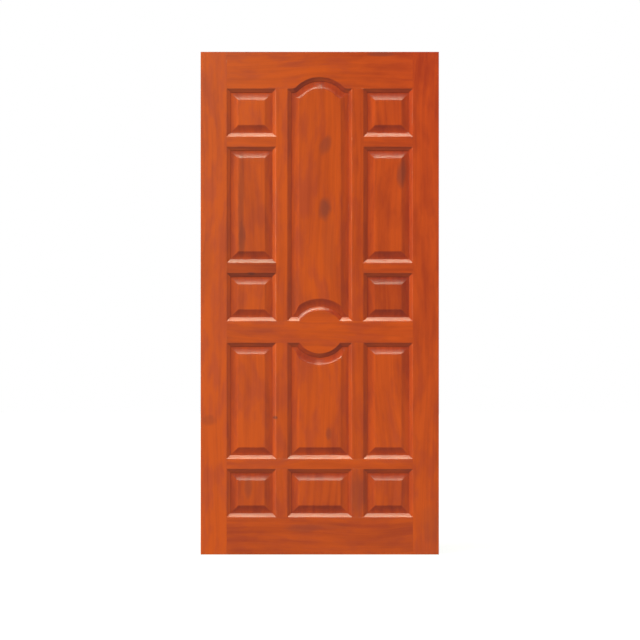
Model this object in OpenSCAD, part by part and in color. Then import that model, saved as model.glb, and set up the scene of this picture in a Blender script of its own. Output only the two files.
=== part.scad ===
// Raised-panel wooden door leaf: stiles, rails and muntins joined by mortise and tenon,
// with thirteen panels floating in their grooves. Millimetres.
// The leaf stands on z = 0, centred on x and y; its front faces -y and both faces are alike.

/* [Leaf] */
// Width over both stiles; the side openings take up a change
leaf_w = 1000; // [860:5:1200]
// Height from foot to head; the upper tall openings take up a change
leaf_h = 2110; // [1900:5:2400]
// Thickness of the frame
leaf_t = 35; // [32:0.5:45]

/* [Frame members, flat face between mouldings] */
// Width of a stile
stile_w = 109; // [95:1:120]
// Width of a muntin
muntin_w = 47; // [40:1:60]
// Height of the top rail beside the arch
top_rail_h = 154; // [145:1:180]
// Height of the lock rail beside its humps
lock_rail_h = 91; // [80:1:120]
// Height of the lock rail's lower edge above the foot
lock_rail_z = 889; // [840:1:960]
// Height of the lower rail and the short cross rails
cross_rail_h = 42; // [36:1:60]
// Height of the bottom rail
bottom_rail_h = 157; // [140:1:200]

/* [Openings between the mouldings' outer edges] */
// Width of an opening between the muntins
centre_opening_w = 272; // [240:1:330]
// Height of a small opening
small_opening_h = 202; // [180:1:225]

/* [Arch and humps] */
// Level shoulder on each side of the arch
arch_shoulder = 22; // [20:1:30]
// Rise of the arch above its shoulders
arch_rise = 48; // [40:1:56]
// Radius of the cove at each foot of the arch
cove_r = 20; // [15:1:25]
// Width of a hump on the lock rail
hump_w = 170; // [150:2:180]
// Rise of a hump above the lock rail's edge
hump_rise = 45; // [36:1:48]

/* [Moulding and groove] */
// Width of the moulding round each opening
moulding_w = 16; // [14:0.5:18]
// Radius of the moulding's hollow
moulding_r = 80; // [50:1:160]
// Width of the groove that holds the panels
groove_w = 14; // [11:0.5:15]
// Depth of the groove
groove_d = 12; // [10:0.5:14]
// Thickness of the lip that the moulding leaves beside the groove
lip_t = 1.5; // [1:0.1:4]

/* [Panels] */
// Space left for a panel to swell at the bottom of its groove
swell_gap = 2; // [1:0.1:3]
// Play of a panel's tongue against each wall of the groove
tongue_play = 0.15; // [0.05:0.05:0.25]
// Flat of the tongue that shows beside the moulding
tongue_show = 1; // [0.5:0.1:2]
// Width of the hollow border that rises to the field
border_w = 31; // [26:0.5:34]
// Radius of that hollow
border_r = 70; // [60:1:140]
// Thickness of the raised field
field_t = 29; // [27:0.5:32]

/* [Tenons] */
// Reach of a rail's tenon past the edge of the stile's face
rail_tenon = 62; // [50:1:80]
// Reach of a cross rail's tenon into the stile
cross_tenon = 34; // [25:1:45]
// Reach of a stub tenon into a muntin or a rail
stub_tenon = 16; // [12:0.5:18]
// Part of the top and bottom rails' ends left without a tenon
haunch_h = 45; // [35:1:60]
// Space left past the end of a tenon
tenon_gap = 2; // [1:0.1:3]

/* [Hidden] */
$fn = 72;
over = 1;
// How far a cove laps over the arch and the shoulder that it joins
cove_lap = 0.1;

half_t = leaf_t / 2;
half_w = leaf_w / 2;

stile_x = half_w - stile_w;
muntin_x = centre_opening_w / 2 + muntin_w / 2;
side_opening_w = stile_x - muntin_x - muntin_w / 2;
side_x = stile_x - side_opening_w / 2;
span_w = 2 * stile_x;

top_y = leaf_h - top_rail_h;
lock_top_y = lock_rail_z + lock_rail_h;
upper_tall_h = top_y - lock_top_y - 2 * small_opening_h - 2 * cross_rail_h;
lower_tall_h = lock_rail_z - bottom_rail_h - small_opening_h - cross_rail_h;
lower_rail_y = bottom_rail_h + small_opening_h;
lower_top_y = lower_rail_y + cross_rail_h;
cross_low_y = lock_top_y + small_opening_h;
cross_high_y = cross_low_y + cross_rail_h + upper_tall_h;

// The moulding's hollow passes through the edge of the face and the lip of the groove.
moulding_d = half_t - groove_w / 2 - lip_t;
moulding_chord = sqrt(pow(moulding_w, 2) + pow(moulding_d, 2));
moulding_reach = sqrt(pow(moulding_r, 2) - pow(moulding_chord / 2, 2));
moulding_x = moulding_w / 2 + moulding_reach * moulding_d / moulding_chord;
moulding_z = half_t - moulding_d / 2 + moulding_reach * moulding_w / moulding_chord;

// Distances in from the edge of an opening, and half thicknesses, along a panel's border.
groove_in = moulding_w - groove_d;
tongue_in = groove_in + swell_gap;
border_in = moulding_w + tongue_show;
field_in = border_in + border_w;
tongue_half = groove_w / 2 - tongue_play;
field_half = field_t / 2;

// The border's hollow passes through the tongue and the edge of the field.
border_rise = field_half - tongue_half;
border_chord = sqrt(pow(border_w, 2) + pow(border_rise, 2));
border_reach = sqrt(pow(border_r, 2) - pow(border_chord / 2, 2));
border_x = border_in + border_w / 2 - border_reach * border_rise / border_chord;
border_z = tongue_half + border_rise / 2 + border_reach * border_w / border_chord;

// The arch swings about a point below it and runs into two coves with centres above the shoulders.
arch_half = centre_opening_w / 2 - arch_shoulder;
arch_angle = 2 * atan(arch_rise / arch_half);
arch_r = arch_half / sin(arch_angle) - cove_r;
arch_y = arch_rise - arch_r;
cove_rim_r = cove_r + cove_lap;

hump_r = (pow(hump_w / 2, 2) + pow(hump_rise, 2)) / (2 * hump_rise);
hump_sink = hump_r - hump_rise;

panel_wood = [0.76, 0.33, 0.15];
stile_wood = [0.78, 0.35, 0.17];
rail_wood = [0.73, 0.31, 0.14];
muntin_wood = [0.75, 0.32, 0.15];

// Raises a part drawn flat, x across and y up the leaf, to stand with its face to the front.
module stand() {
  rotate([90, 0, 0])
    children();
}

// Draws its child once as it is and once mirrored across the given direction.
module both(direction) {
  children();
  mirror(direction)
    children();
}

// Runs a section, drawn across and through the thickness, along x from one place to another.
module along_x(from, to) {
  translate([from, 0, 0])
    rotate([90, 0, 90])
      linear_extrude(to - from)
        children();
}

// Runs a section, drawn across and through the thickness, along y from one place to another.
module along_y(from, to) {
  translate([0, to, 0])
    rotate([90, 0, 0])
      linear_extrude(to - from)
        children();
}

// Section of what the moulding cuts away at the front face, from the edge of the face outwards.
module moulding_cut() {
  intersection() {
    translate([-over, half_t - moulding_d - over])
      square([moulding_w + 2 * over, moulding_d + 2 * over]);
    translate([moulding_x, moulding_z])
      circle(r = moulding_r);
  }
}

// Section of a member's moulded and grooved edge, from the edge of its flat face outwards.
module moulded_edge() {
  difference() {
    translate([0, -half_t])
      square([moulding_w, leaf_t]);
    both([0, 1])
      moulding_cut();
    translate([groove_in, -groove_w / 2])
      square([groove_d + over, groove_w]);
  }
}

// Section of a member moulded on both edges, centred.
module board_section(face_w) {
  square([face_w, leaf_t], center = true);
  both([1, 0])
    translate([face_w / 2, 0])
      moulded_edge();
}

// Section of a member moulded on one edge; its plain edge stands at zero.
module edge_section(face_w) {
  translate([0, -half_t])
    square([face_w, leaf_t]);
  translate([face_w, 0])
    moulded_edge();
}

// Section of the space between two moulded edges, which a coped end fills; centred.
module coped_section(gap) {
  difference() {
    square([gap, leaf_t], center = true);
    both([1, 0])
      translate([-gap / 2, 0])
        moulded_edge();
  }
}

// Section of what is cut from a panel's front at its border, from the edge of the opening inwards.
module border_cut() {
  intersection() {
    translate([tongue_in - over, tongue_half])
      square([field_in - tongue_in + 3 * over, border_rise + over]);
    union() {
      translate([tongue_in - 2 * over, tongue_half - over])
        square([border_in - tongue_in + over, border_rise + 3 * over]);
      translate([border_x, border_z])
        circle(r = border_r);
    }
  }
}

// Section of a panel between the two edges of its opening, centred.
module panel_section(opening) {
  difference() {
    square([opening - 2 * tongue_in, field_t], center = true);
    both([1, 0])
      both([0, 1])
        translate([-opening / 2, 0])
          border_cut();
  }
}

// Box of a tenon or its mortise, with its lower left corner given.
module tenon_box(x, y, w, h) {
  translate([x, y, -groove_w / 2])
    cube([w, h, groove_w]);
}

// Turned disc whose rim is moulded and grooved like a member's edge.
module moulded_disc(r) {
  rotate_extrude() {
    translate([0, -half_t])
      square([r, leaf_t]);
    translate([r, 0])
      moulded_edge();
  }
}

// Turned space that leaves a moulded and grooved edge round it.
module moulded_hollow(r) {
  rotate_extrude()
    difference() {
      translate([0, -half_t - over])
        square([r, leaf_t + 2 * over]);
      translate([r, 0])
        mirror([1, 0])
          moulded_edge();
    }
}

// Turned panel with a raised field inside a round border.
module panel_disc(r) {
  rotate_extrude()
    difference() {
      translate([0, -field_half])
        square([r - tongue_in, field_t]);
      both([0, 1])
        translate([r, 0])
          mirror([1, 0])
            border_cut();
    }
}

// Turned space that a round of wood clears in a panel, with the panel's border cut round it.
module panel_clearing(r) {
  rotate_extrude() {
    translate([0, -field_half - over])
      square([r + tongue_in, field_t + 2 * over]);
    both([0, 1])
      translate([r, 0])
        border_cut();
  }
}

// Space between the arch, a cove and a shoulder, which the cove then rounds; both sides.
module cove_corners(thick) {
  both([1, 0, 0])
    translate([0, 0, -thick / 2])
      linear_extrude(thick)
        polygon([[arch_half, cove_r], [0, arch_y], [arch_half, arch_y]]);
}

// Half of the lock rail's hump, from the middle of the rail upwards.
module hump_wood() {
  intersection() {
    translate([0, lock_rail_h / 2 - hump_sink, 0])
      moulded_disc(hump_r);
    translate([-hump_w, 0, -leaf_t])
      cube([2 * hump_w, 2 * hump_w, 2 * leaf_t]);
  }
}

// Rail between two members, coped over their mouldings; x and y of its middle.
module coped_rail(x, y, face_h, gap) {
  translate([x, y, 0])
    intersection() {
      along_x(-gap / 2, gap / 2)
        board_section(face_h);
      along_y(-face_h, face_h)
        coped_section(gap);
    }
}

// Muntin between two rails, coped over their mouldings; x of its middle, y of its two ends.
module coped_muntin(x, low_y, high_y) {
  gap = high_y - low_y;
  translate([x, low_y + gap / 2, 0])
    intersection() {
      along_y(-gap / 2, gap / 2)
        board_section(muntin_w);
      along_x(-muntin_w, muntin_w)
        coped_section(gap);
    }
}

// Tenons at both ends of a rail that runs from stile to stile; extra lengthens them for a mortise.
module rail_tenons(y, h, reach, extra) {
  both([1, 0, 0])
    tenon_box(stile_x - groove_in - over, y, reach + groove_in + over + extra, h);
}

// All tenons that enter a stile, as seen from its mortises.
module stile_mortises() {
  rail_tenons(haunch_h, bottom_rail_h - haunch_h, rail_tenon, tenon_gap);
  rail_tenons(lower_rail_y, cross_rail_h, rail_tenon, tenon_gap);
  rail_tenons(lock_rail_z, lock_rail_h, rail_tenon, tenon_gap);
  rail_tenons(top_y, top_rail_h - haunch_h, rail_tenon, tenon_gap);
  rail_tenons(cross_low_y, cross_rail_h, cross_tenon, tenon_gap);
  rail_tenons(cross_high_y, cross_rail_h, cross_tenon, tenon_gap);
}

// Stub tenons at both ends of a muntin; extra lengthens them for a mortise.
module muntin_tenons(x, low_y, high_y, extra) {
  reach = stub_tenon + groove_in + over + extra;
  tenon_box(x - muntin_w / 2, high_y - groove_in - over, muntin_w, reach);
  tenon_box(x - muntin_w / 2, low_y + groove_in + over - reach, muntin_w, reach);
}

// Stub tenon of a cross rail in the upper muntin on the right; extra lengthens it for a mortise.
module cross_stub(y, extra) {
  reach = stub_tenon + groove_in + over + extra;
  tenon_box(muntin_x + muntin_w / 2 + groove_in + over - reach, y, reach, cross_rail_h);
}

module right_stile_flat() {
  difference() {
    along_y(0, leaf_h)
      translate([half_w, 0])
        mirror([1, 0])
          edge_section(stile_w);
    stile_mortises();
  }
}

module upper_muntin_flat() {
  difference() {
    union() {
      coped_muntin(muntin_x, lock_top_y, top_y);
      muntin_tenons(muntin_x, lock_top_y, top_y, 0);
    }
    cross_stub(cross_low_y, tenon_gap);
    cross_stub(cross_high_y, tenon_gap);
  }
}

module lower_muntin_flat() {
  coped_muntin(muntin_x, lower_top_y, lock_rail_z);
  muntin_tenons(muntin_x, lower_top_y, lock_rail_z, 0);
}

module bottom_muntin_flat() {
  coped_muntin(muntin_x, bottom_rail_h, lower_rail_y);
  muntin_tenons(muntin_x, bottom_rail_h, lower_rail_y, 0);
}

module cross_rail_flat(y) {
  coped_rail(side_x, y + cross_rail_h / 2, cross_rail_h, side_opening_w);
  tenon_box(stile_x - groove_in - over, y, cross_tenon + groove_in + over, cross_rail_h);
  cross_stub(y, 0);
}

// Panel with a straight border on all four sides; x of its middle, y of its opening's lower edge.
module plain_panel_flat(x, y, w, h) {
  translate([x, y + h / 2, 0])
    intersection() {
      along_x(-w / 2, w / 2)
        panel_section(h);
      along_y(-h / 2, h / 2)
        panel_section(w);
    }
}

module left_stile() {
  color(stile_wood)
    stand()
      mirror([1, 0, 0])
        right_stile_flat();
}

module right_stile() {
  color(stile_wood)
    stand()
      right_stile_flat();
}

module top_rail() {
  color(rail_wood)
    stand()
      difference() {
        union() {
          intersection() {
            translate([0, top_y, 0]) {
              difference() {
                along_x(-stile_x, stile_x)
                  translate([top_rail_h, 0])
                    mirror([1, 0])
                      edge_section(top_rail_h);
                translate([0, arch_y, 0])
                  moulded_hollow(arch_r);
                cove_corners(leaf_t + 2 * over);
              }
              both([1, 0, 0])
                translate([arch_half, cove_r, 0])
                  moulded_disc(cove_rim_r);
            }
            along_y(top_y - 2 * moulding_w, leaf_h)
              coped_section(span_w);
          }
          rail_tenons(top_y, top_rail_h - haunch_h, rail_tenon, 0);
        }
        both([1, 0, 0])
          muntin_tenons(muntin_x, lock_top_y, top_y, tenon_gap);
      }
}

module lock_rail() {
  middle_y = lock_rail_z + lock_rail_h / 2;
  color(rail_wood)
    stand()
      difference() {
        union() {
          coped_rail(0, middle_y, lock_rail_h, span_w);
          translate([0, middle_y, 0])
            both([0, 1, 0])
              hump_wood();
          rail_tenons(lock_rail_z, lock_rail_h, rail_tenon, 0);
        }
        both([1, 0, 0]) {
          muntin_tenons(muntin_x, lock_top_y, top_y, tenon_gap);
          muntin_tenons(muntin_x, lower_top_y, lock_rail_z, tenon_gap);
        }
      }
}

module lower_rail() {
  color(rail_wood)
    stand()
      difference() {
        union() {
          coped_rail(0, lower_rail_y + cross_rail_h / 2, cross_rail_h, span_w);
          rail_tenons(lower_rail_y, cross_rail_h, rail_tenon, 0);
        }
        both([1, 0, 0]) {
          muntin_tenons(muntin_x, lower_top_y, lock_rail_z, tenon_gap);
          muntin_tenons(muntin_x, bottom_rail_h, lower_rail_y, tenon_gap);
        }
      }
}

module bottom_rail() {
  color(rail_wood)
    stand()
      difference() {
        union() {
          intersection() {
            along_x(-stile_x, stile_x)
              edge_section(bottom_rail_h);
            along_y(0, bottom_rail_h + 2 * moulding_w)
              coped_section(span_w);
          }
          rail_tenons(haunch_h, bottom_rail_h - haunch_h, rail_tenon, 0);
        }
        both([1, 0, 0])
          muntin_tenons(muntin_x, bottom_rail_h, lower_rail_y, tenon_gap);
      }
}

module upper_left_muntin() {
  color(muntin_wood)
    stand()
      mirror([1, 0, 0])
        upper_muntin_flat();
}

module upper_right_muntin() {
  color(muntin_wood)
    stand()
      upper_muntin_flat();
}

module lower_left_muntin() {
  color(muntin_wood)
    stand()
      mirror([1, 0, 0])
        lower_muntin_flat();
}

module lower_right_muntin() {
  color(muntin_wood)
    stand()
      lower_muntin_flat();
}

module bottom_left_muntin() {
  color(muntin_wood)
    stand()
      mirror([1, 0, 0])
        bottom_muntin_flat();
}

module bottom_right_muntin() {
  color(muntin_wood)
    stand()
      bottom_muntin_flat();
}

module high_left_cross_rail() {
  color(rail_wood)
    stand()
      mirror([1, 0, 0])
        cross_rail_flat(cross_high_y);
}

module low_left_cross_rail() {
  color(rail_wood)
    stand()
      mirror([1, 0, 0])
        cross_rail_flat(cross_low_y);
}

module high_right_cross_rail() {
  color(rail_wood)
    stand()
      cross_rail_flat(cross_high_y);
}

module low_right_cross_rail() {
  color(rail_wood)
    stand()
      cross_rail_flat(cross_low_y);
}

module top_left_panel() {
  color(panel_wood)
    stand()
      plain_panel_flat(-side_x, cross_high_y + cross_rail_h, side_opening_w, small_opening_h);
}

module upper_left_panel() {
  color(panel_wood)
    stand()
      plain_panel_flat(-side_x, cross_low_y + cross_rail_h, side_opening_w, upper_tall_h);
}

module middle_left_panel() {
  color(panel_wood)
    stand()
      plain_panel_flat(-side_x, lock_top_y, side_opening_w, small_opening_h);
}

module lower_left_panel() {
  color(panel_wood)
    stand()
      plain_panel_flat(-side_x, lower_top_y, side_opening_w, lower_tall_h);
}

module bottom_left_panel() {
  color(panel_wood)
    stand()
      plain_panel_flat(-side_x, bottom_rail_h, side_opening_w, small_opening_h);
}

module top_right_panel() {
  color(panel_wood)
    stand()
      plain_panel_flat(side_x, cross_high_y + cross_rail_h, side_opening_w, small_opening_h);
}

module upper_right_panel() {
  color(panel_wood)
    stand()
      plain_panel_flat(side_x, cross_low_y + cross_rail_h, side_opening_w, upper_tall_h);
}

module middle_right_panel() {
  color(panel_wood)
    stand()
      plain_panel_flat(side_x, lock_top_y, side_opening_w, small_opening_h);
}

module lower_right_panel() {
  color(panel_wood)
    stand()
      plain_panel_flat(side_x, lower_top_y, side_opening_w, lower_tall_h);
}

module bottom_right_panel() {
  color(panel_wood)
    stand()
      plain_panel_flat(side_x, bottom_rail_h, side_opening_w, small_opening_h);
}

module arched_panel() {
  straight_h = top_y - lock_top_y;
  color(panel_wood)
    stand()
      translate([0, lock_top_y, 0])
        difference() {
          intersection() {
            along_y(0, straight_h + arch_rise)
              panel_section(centre_opening_w);
            union() {
              translate([0, straight_h / 2, 0])
                along_x(-centre_opening_w / 2, centre_opening_w / 2)
                  panel_section(straight_h);
              translate([0, straight_h + arch_y, 0])
                panel_disc(arch_r);
              translate([0, straight_h, 0])
                cove_corners(field_t);
            }
          }
          both([1, 0, 0])
            translate([arch_half, straight_h + cove_r, 0])
              panel_clearing(cove_rim_r);
          translate([0, -hump_sink, 0])
            panel_clearing(hump_r);
        }
}

module lower_centre_panel() {
  color(panel_wood)
    stand()
      difference() {
        plain_panel_flat(0, lower_top_y, centre_opening_w, lower_tall_h);
        translate([0, lock_rail_z + hump_sink, 0])
          panel_clearing(hump_r);
      }
}

module bottom_centre_panel() {
  color(panel_wood)
    stand()
      plain_panel_flat(0, bottom_rail_h, centre_opening_w, small_opening_h);
}

left_stile();
right_stile();
top_rail();
lock_rail();
lower_rail();
bottom_rail();
upper_left_muntin();
upper_right_muntin();
lower_left_muntin();
lower_right_muntin();
bottom_left_muntin();
bottom_right_muntin();
high_left_cross_rail();
low_left_cross_rail();
high_right_cross_rail();
low_right_cross_rail();
top_left_panel();
upper_left_panel();
middle_left_panel();
lower_left_panel();
bottom_left_panel();
top_right_panel();
upper_right_panel();
middle_right_panel();
lower_right_panel();
bottom_right_panel();
arched_panel();
lower_centre_panel();
bottom_centre_panel();
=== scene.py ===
"""Raised-panel door leaf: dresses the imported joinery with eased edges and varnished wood."""

import math

import bmesh
import bpy
from mathutils import Matrix, Vector


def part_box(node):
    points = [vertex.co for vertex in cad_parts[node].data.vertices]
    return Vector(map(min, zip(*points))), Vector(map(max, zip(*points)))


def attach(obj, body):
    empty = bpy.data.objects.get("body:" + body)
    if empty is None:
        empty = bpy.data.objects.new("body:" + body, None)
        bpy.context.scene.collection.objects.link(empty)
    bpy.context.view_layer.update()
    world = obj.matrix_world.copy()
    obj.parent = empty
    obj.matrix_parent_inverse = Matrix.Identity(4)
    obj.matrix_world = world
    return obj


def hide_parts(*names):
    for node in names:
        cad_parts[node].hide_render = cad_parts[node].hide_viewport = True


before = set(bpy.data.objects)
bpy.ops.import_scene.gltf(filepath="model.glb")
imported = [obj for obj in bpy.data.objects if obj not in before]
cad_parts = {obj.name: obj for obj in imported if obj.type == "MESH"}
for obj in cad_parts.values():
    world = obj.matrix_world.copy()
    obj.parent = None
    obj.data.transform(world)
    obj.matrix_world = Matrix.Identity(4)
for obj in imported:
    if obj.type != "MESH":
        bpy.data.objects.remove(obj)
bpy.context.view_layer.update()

bl_info = {
    "name": "Raised-panel door leaf",
    "version": (1, 0, 0),
    "blender": (4, 5, 0),
    "location": "3D View > Sidebar > Door",
    "description": "Builds the members, raised panels and varnish of a wooden door leaf",
    "category": "Object",
}

MM = 0.001
MERGE = 1e-6  # points closer than this are one, in metres
SHOULDER_STAIN = 0.45  # stain gathered in the joint line at a shoulder
SHOULDER_SINK = 0.02  # how far a shoulder's edge sinks, as a share of the height there
SQUARE_SINK = 0.03  # the same at an end cut square
FACE_UP = Matrix(((1, 0, 0, 0), (0, 0, -1, 0), (0, 1, 0, 0), (0, 0, 0, 1)))
GRAIN_UP = Matrix(((0, -1, 0, 0), (0, 0, -1, 0), (1, 0, 0, 0), (0, 0, 0, 1)))


def length(name, text, value):
    """A length property in metres, given in millimetres."""
    return bpy.props.FloatProperty(
        name=name, description=text, default=value * MM, min=0.0, unit="LENGTH", precision=4
    )


def tint(name, text, value):
    """A colour property, linear."""
    return bpy.props.FloatVectorProperty(
        name=name, description=text, default=value, size=3, min=0.0, max=1.0, subtype="COLOR"
    )


def amount(name, text, value, top=10.0):
    """A plain number property."""
    return bpy.props.FloatProperty(name=name, description=text, default=value, min=0.0, max=top)


class DoorFrameSizes(bpy.types.PropertyGroup):
    """Flat faces of the frame members and the layout of the openings."""

    leaf_w: length("Leaf width", "Width over both stiles", 1000)
    leaf_h: length("Leaf height", "Height from foot to head", 2110)
    leaf_t: length("Leaf thickness", "Thickness of the frame", 35)
    stile_w: length("Stile", "Flat face of a stile", 109)
    muntin_w: length("Muntin", "Flat face of a muntin", 47)
    top_rail_h: length("Top rail", "Flat face of the top rail beside the arch", 154)
    lock_rail_h: length("Lock rail", "Flat face of the lock rail beside its humps", 91)
    lock_rail_z: length("Lock rail height", "Lower edge of the lock rail above the foot", 889)
    cross_rail_h: length("Cross rail", "Flat face of the lower rail and the cross rails", 42)
    bottom_rail_h: length("Bottom rail", "Flat face of the bottom rail", 157)
    centre_opening_w: length("Centre opening", "Opening between the muntins", 272)
    small_opening_h: length("Small opening", "Height of a small opening", 202)
    arch_shoulder: length("Arch shoulder", "Level run on each side of the arch", 22)
    arch_rise: length("Arch rise", "Rise of the arch above its shoulders", 48)
    cove_r: length("Cove radius", "Radius at each foot of the arch", 20)
    hump_w: length("Hump width", "Width of a hump on the lock rail", 170)
    hump_rise: length("Hump rise", "Rise of a hump above the lock rail's edge", 45)


class DoorProfileSizes(bpy.types.PropertyGroup):
    """Moulding, groove and raised border, with the easing of their edges."""

    moulding_w: length("Moulding width", "Width of the hollow moulding round an opening", 16)
    moulding_r: length("Moulding hollow", "Radius of the moulding's hollow", 80)
    lip_t: length("Lip", "Lip that the moulding leaves beside the groove", 1.5)
    groove_w: length("Groove width", "Width of the panel groove", 14)
    groove_d: length("Groove depth", "Depth of the panel groove", 12)
    swell_gap: length("Swelling gap", "Space past a panel's tongue", 2)
    tongue_play: length("Tongue play", "Play of a tongue on each side", 0.15)
    tongue_show: length("Tongue show", "Flat of the tongue beside the moulding", 1)
    border_w: length("Border width", "Width of the hollow border round a field", 31)
    border_r: length("Border hollow", "Radius of the border's hollow", 70)
    field_t: length("Field thickness", "Thickness of the raised field", 29)
    ease: length("Eased edge", "Radius of the sanded edges", 0.6)
    field_ease: length("Eased field", "Reach of the rounding on each side of a field's edge", 2.5)
    joint_line: length("Joint line", "Width of the hairline at a shoulder of a rail", 0.5)


class DoorVarnish(bpy.types.PropertyGroup):
    """Colours and gloss of the varnished wood."""

    heart: tint("Heartwood", "Orange colour of most of the wood", (0.482, 0.0604, 0.0005))
    red: tint("Red patches", "Redder, duller colour of the patches", (0.406, 0.0496, 0.0084))
    dark: tint("Dark grain", "Colour of the dark streaks", (0.217, 0.0194, 0.0021))
    smoke: tint("Knots and smudges", "Colour of the knots and smoky marks", (0.142, 0.0260, 0.0165))
    gloss: amount("Varnish roughness", "Roughness of the clear varnish", 0.14, 1.0)


class DoorStage(bpy.types.PropertyGroup):
    """Camera and light."""

    lens: amount("Lens", "Focal length in millimetres", 268.0, 400.0)
    camera_gap: length("Camera distance", "Camera to the front face", 19996)
    camera_x: length("Camera across", "Camera to the right of the middle", 1)
    camera_z: length("Camera height", "Camera above the floor", 984.5)
    warmth: tint("Key colour", "Colour of the overhead light", (0.8824, 1.0, 0.7647))
    side_colour: tint("Side colour", "Colour of the lights at the left", (0.97, 1.0, 0.62))
    sky: amount("World level", "Level of the surrounding light", 0.0355)
    key_light: amount("Key light", "Irradiance of a disc of share 1 in the tall overhead light", 0.1683)
    wing_light: amount("Wing light", "Irradiance of a disc of share 1 in the rows beside the key", 0.2866)
    left_light: amount("Left light", "Irradiance of the broad light at the left", 3.88)
    broad_light: amount("Broad light", "Irradiance of the broad light above the camera", 0.08)
    side_light: amount("Side light", "Irradiance of the broad light to the left of the camera", 0.173)
    back_light: amount("Back light", "Irradiance of the light behind the leaf", 2.0)


def leaf():
    """Sizes of the frame members."""
    return bpy.context.scene.door_frame


def profile():
    """Sizes of the moulding, the groove and the border."""
    return bpy.context.scene.door_profile


def levels():
    """Heights and places that follow from the sizes."""
    f = leaf()
    at = {}
    at["stile_x"] = f.leaf_w / 2 - f.stile_w
    at["muntin_x"] = f.centre_opening_w / 2 + f.muntin_w / 2
    at["side_w"] = at["stile_x"] - at["muntin_x"] - f.muntin_w / 2
    at["side_x"] = at["stile_x"] - at["side_w"] / 2
    at["top_z"] = f.leaf_h - f.top_rail_h
    at["lock_top_z"] = f.lock_rail_z + f.lock_rail_h
    at["low_cross_z"] = at["lock_top_z"] + f.small_opening_h
    at["high_cross_z"] = at["top_z"] - f.small_opening_h - f.cross_rail_h
    at["lower_z"] = f.bottom_rail_h + f.small_opening_h
    at["lower_top_z"] = at["lower_z"] + f.cross_rail_h
    return at


def hollow(start, end, radius):
    """Height of a hollow at a place between its start and end, each given as (place, height)."""
    a, b = Vector(start), Vector(end)
    chord = b - a
    reach = math.sqrt(radius**2 - (chord.length / 2) ** 2)
    centre = (a + b) / 2 + Vector((-chord.y, chord.x)).normalized() * reach
    return lambda place: centre.y - math.sqrt(radius**2 - (place - centre.x) ** 2)


def spread(first, last, count):
    """Even places from first to last."""
    return [first + (last - first) * i / count for i in range(count + 1)]


HOLLOW_STEPS = 10  # steps across a hollow
ROUND_STEPS = 5  # steps round a field's edge
EXTRA_PLACES = (34.4, 22.0)  # further points of a border's hollow, in millimetres from the opening's edge


def moulding_line():
    """Moulded edge from the face to the middle of the groove.

    Each entry is (distance past the face's edge, half thickness there, stain: staining gathered in the
    hollow, with painted shade that deepens towards the groove).
    """
    p = profile()
    half = leaf().leaf_t / 2
    low = p.groove_w / 2 + p.lip_t
    high = hollow((0.0, half), (p.moulding_w, low), p.moulding_r)
    ease = p.ease
    # the third number is staining gathered in the moulding, plus painted shade that darkens the lip and the
    # groove most
    line = [(-ease, half, 0.0), (-0.3 * ease, half - 0.1 * ease, 0.0)]
    line.append((0.4 * ease, high(0.4 * ease) - 0.1 * ease, 0.05))
    for across in spread(1.1 * ease, p.moulding_w - 0.7 * ease, HOLLOW_STEPS):
        line.append((across, high(across), 0.14 + 0.1 * (across / p.moulding_w) ** 2))
    line.append((p.moulding_w - 0.15 * ease, low - 0.15 * ease, 0.4))
    line.append((p.moulding_w, low - 0.7 * ease, 0.6))
    line.append((p.moulding_w, p.groove_w / 2, 1.0))
    line.append((p.moulding_w - p.groove_d, p.groove_w / 2, 1.0))
    return line


def plain_line():
    """Plain square edge with its corners rounded, in the same terms as the moulded one."""
    ease, half = profile().ease, leaf().leaf_t / 2
    turns = [math.radians(30 * i) for i in range(4)]
    return [(-ease + ease * math.sin(turn), half - ease + ease * math.cos(turn), 0.0) for turn in turns]


def both_faces(line):
    """A half section carried on round to the other face."""
    return line + [(place, -high, stain) for place, high, stain in reversed(line)]


def edge_run(moulded):
    """A board's whole edge from face to face, moulded or plain."""
    return both_faces(moulding_line() if moulded else plain_line())


def border_line():
    """Raised border from the field to the middle of the tongue's edge.

    Each entry is (distance in from the opening's edge, half thickness there, stain: staining in the hollow,
    with painted shade that deepens into the crease by the tongue).
    """
    p = profile()
    tongue = p.groove_w / 2 - p.tongue_play
    border_in = p.moulding_w + p.tongue_show
    field_in = border_in + p.border_w
    field, ease = p.field_t / 2, p.field_ease
    high = hollow((border_in, tongue), (field_in, field), p.border_r)
    edge = (field_in + ease, field_in, field_in - ease)
    line = []
    for t in spread(0.0, 1.0, ROUND_STEPS)[:-1]:
        place = edge[0] * (1 - t) ** 2 + 2 * edge[1] * t * (1 - t) + edge[2] * t**2
        line.append((place, field * (1 - t**2) + high(edge[2]) * t**2, 0.0))
    places = spread(edge[2], border_in + 1.0 * MM, HOLLOW_STEPS) + [place * MM for place in EXTRA_PLACES]
    # staining grows across the border's hollow towards the tongue, with painted shade darkest in the crease
    # by the moulding
    for inset in sorted(places, reverse=True):
        line.append((inset, high(inset), 0.1 + 0.3 * ((field_in - inset) / p.border_w) ** 1.5))
    line.append((border_in, tongue, 0.8))
    line.append((p.moulding_w - p.groove_d + p.swell_gap, tongue, 1.0))
    return line


# Node helpers

def put(tree, kind, inputs=None, **settings):
    """Adds a node, sets its properties and fills its inputs with values or links."""
    node = tree.nodes.new(kind)
    for key, value in settings.items():
        setattr(node, key, value)
    for key, value in (inputs or {}).items():
        feed(tree, node.inputs[key], value)
    return node


def feed(tree, socket, value):
    """Links an output to a socket, or sets the socket's own value."""
    if isinstance(value, bpy.types.NodeSocket):
        tree.links.new(value, socket)
    else:
        socket.default_value = value


def calc(tree, operation, a, b=0.0, c=None):
    """A math node's result."""
    values = {0: a, 1: b}
    if c is not None:
        values[2] = c
    return put(tree, "ShaderNodeMath", values, operation=operation).outputs[0]


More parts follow.
